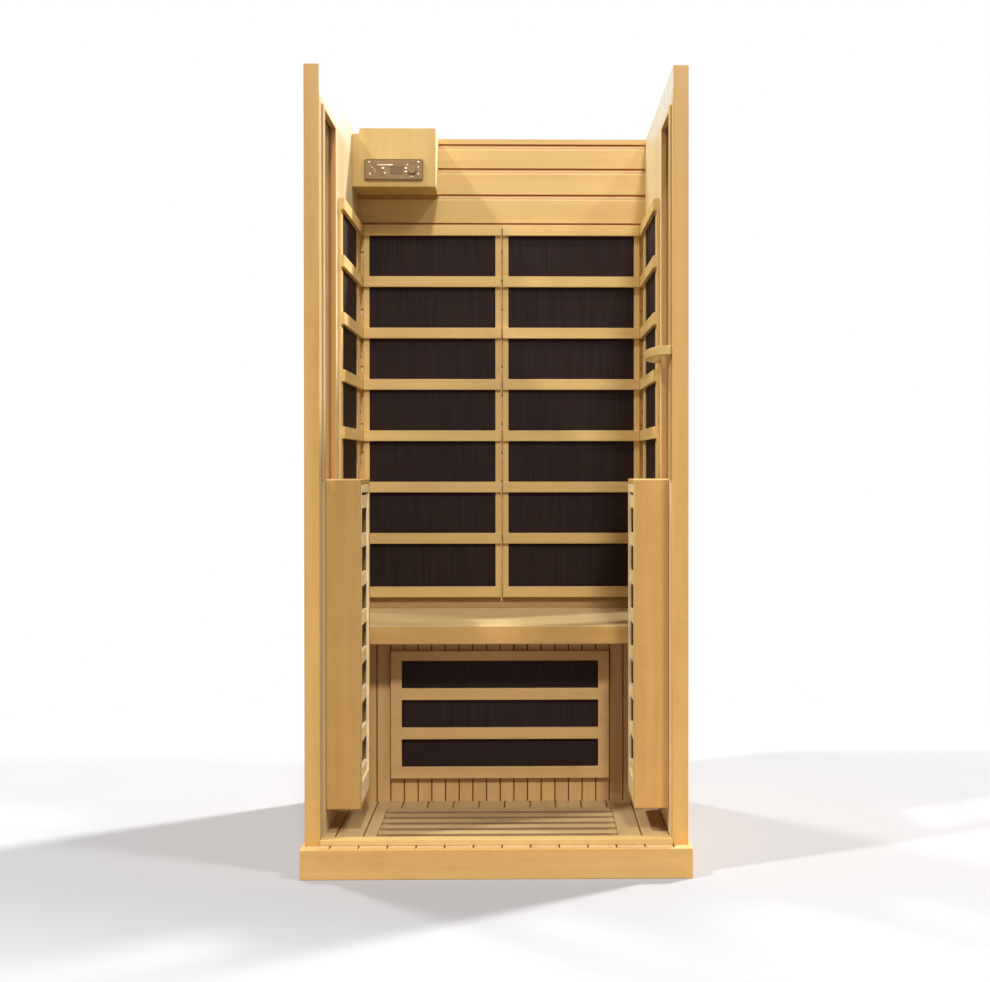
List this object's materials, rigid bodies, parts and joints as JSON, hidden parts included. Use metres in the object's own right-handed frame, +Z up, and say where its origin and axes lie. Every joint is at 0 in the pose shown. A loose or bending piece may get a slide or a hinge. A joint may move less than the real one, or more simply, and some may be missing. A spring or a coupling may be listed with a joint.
{
  "type": "infrared sauna cabin",
  "caption": "One-person infrared sauna cabin in pale wood, open at front and top, with slatted heaters, bench, side windows, floor grille and a corner control box with radio.",
  "frame": {"origin": "on the ground under the middle of the base", "axes": "+Z up, the open front faces -Y, +X to the right as seen from the front"},
  "size_m": [0.9, 0.9, 1.87],
  "materials": {
    "hemlock": "smooth planed softwood, satin",
    "pale_hemlock": "smooth planed softwood, paler",
    "heater_panel": "dark carbon film panel, matt",
    "window_glass": "clear toughened glass, slightly warm",
    "radio_bronze": "metallic bronze, satin",
    "chassis_steel": "plain sheet steel",
    "button_aluminium": "satin metal caps",
    "display_plastic": "glossy dark window",
    "dark_plastic": "moulded, matt"
  },
  "bodies": {
    "cabin": {"base_front_fascia": "hemlock", "base_rear_fascia": "hemlock", "base_left_fascia": "hemlock", "base_right_fascia": "hemlock", "base_bearer_frame": "pale_hemlock", "floor_boards": "hemlock", "floor_heater_panel": "heater_panel", "front_sill_rail": "hemlock", "left_front_post": "hemlock", "right_front_post": "hemlock", "left_inner_lining": "pale_hemlock", "right_inner_lining": "pale_hemlock", "left_wall_core": "pale_hemlock", "right_wall_core": "pale_hemlock", "left_outer_cladding": "hemlock", "right_outer_cladding": "hemlock", "left_window_glass": "window_glass", "right_window_glass": "window_glass", "left_window_stop": "hemlock", "right_window_stop": "hemlock", "back_inner_lining": "hemlock", "back_wall_core": "pale_hemlock", "back_outer_cladding": "hemlock", "back_heater_frame_left": "hemlock", "back_heater_frame_right": "hemlock", "back_heater_panel_left": "heater_panel", "back_heater_panel_right": "heater_panel", "side_heater_frame_left": "hemlock", "side_heater_frame_right": "hemlock", "side_heater_panel_left": "heater_panel", "side_heater_panel_right": "heater_panel", "front_heater_box_left": "hemlock", "front_heater_box_right": "hemlock", "front_heater_grille_left": "hemlock", "front_heater_grille_right": "hemlock", "front_heater_panel_left": "heater_panel", "front_heater_panel_right": "heater_panel", "calf_heater_frame": "hemlock", "calf_heater_panel": "heater_panel", "bench_top": "hemlock", "bench_skirt": "hemlock", "bench_cleat_left": "pale_hemlock", "bench_cleat_right": "pale_hemlock", "bench_cleat_back": "pale_hemlock", "control_box_front": "hemlock", "control_box_case": "hemlock", "radio_chassis": "chassis_steel", "radio_faceplate": "radio_bronze", "radio_display": "display_plastic", "power_module": "dark_plastic", "cable_inlet": "dark_plastic", "grab_handle": "hemlock"},
    "floor_grille": {"floor_slat_grille": "hemlock"},
    "volume_knob": {"radio_volume_knob": "radio_bronze"},
    "power_button": {"radio_button_power": "button_aluminium"},
    "up_button": {"radio_button_up": "button_aluminium"},
    "down_button": {"radio_button_down": "button_aluminium"}
  },
  "joints": [
    {"name": "floor_grille_lift", "type": "slide", "parent": "cabin", "child": "floor_grille", "axis": [0, 0, 1], "range_m": [0, 0.2]},
    {"name": "volume_knob_turn", "type": "hinge", "parent": "cabin", "child": "volume_knob", "pos_m": [-0.2432, 0.26, 1.7538], "axis": [0, 1, 0], "range_deg": [-150, 150]},
    {"name": "power_button_press", "type": "slide", "parent": "cabin", "child": "power_button", "axis": [0, 1, 0], "range_m": [0, 0.0012], "stiffness_N_per_m": 400},
    {"name": "up_button_press", "type": "slide", "parent": "cabin", "child": "up_button", "axis": [0, 1, 0], "range_m": [0, 0.0012], "stiffness_N_per_m": 400},
    {"name": "down_button_press", "type": "slide", "parent": "cabin", "child": "down_button", "axis": [0, 1, 0], "range_m": [0, 0.0012], "stiffness_N_per_m": 400}
  ]
}
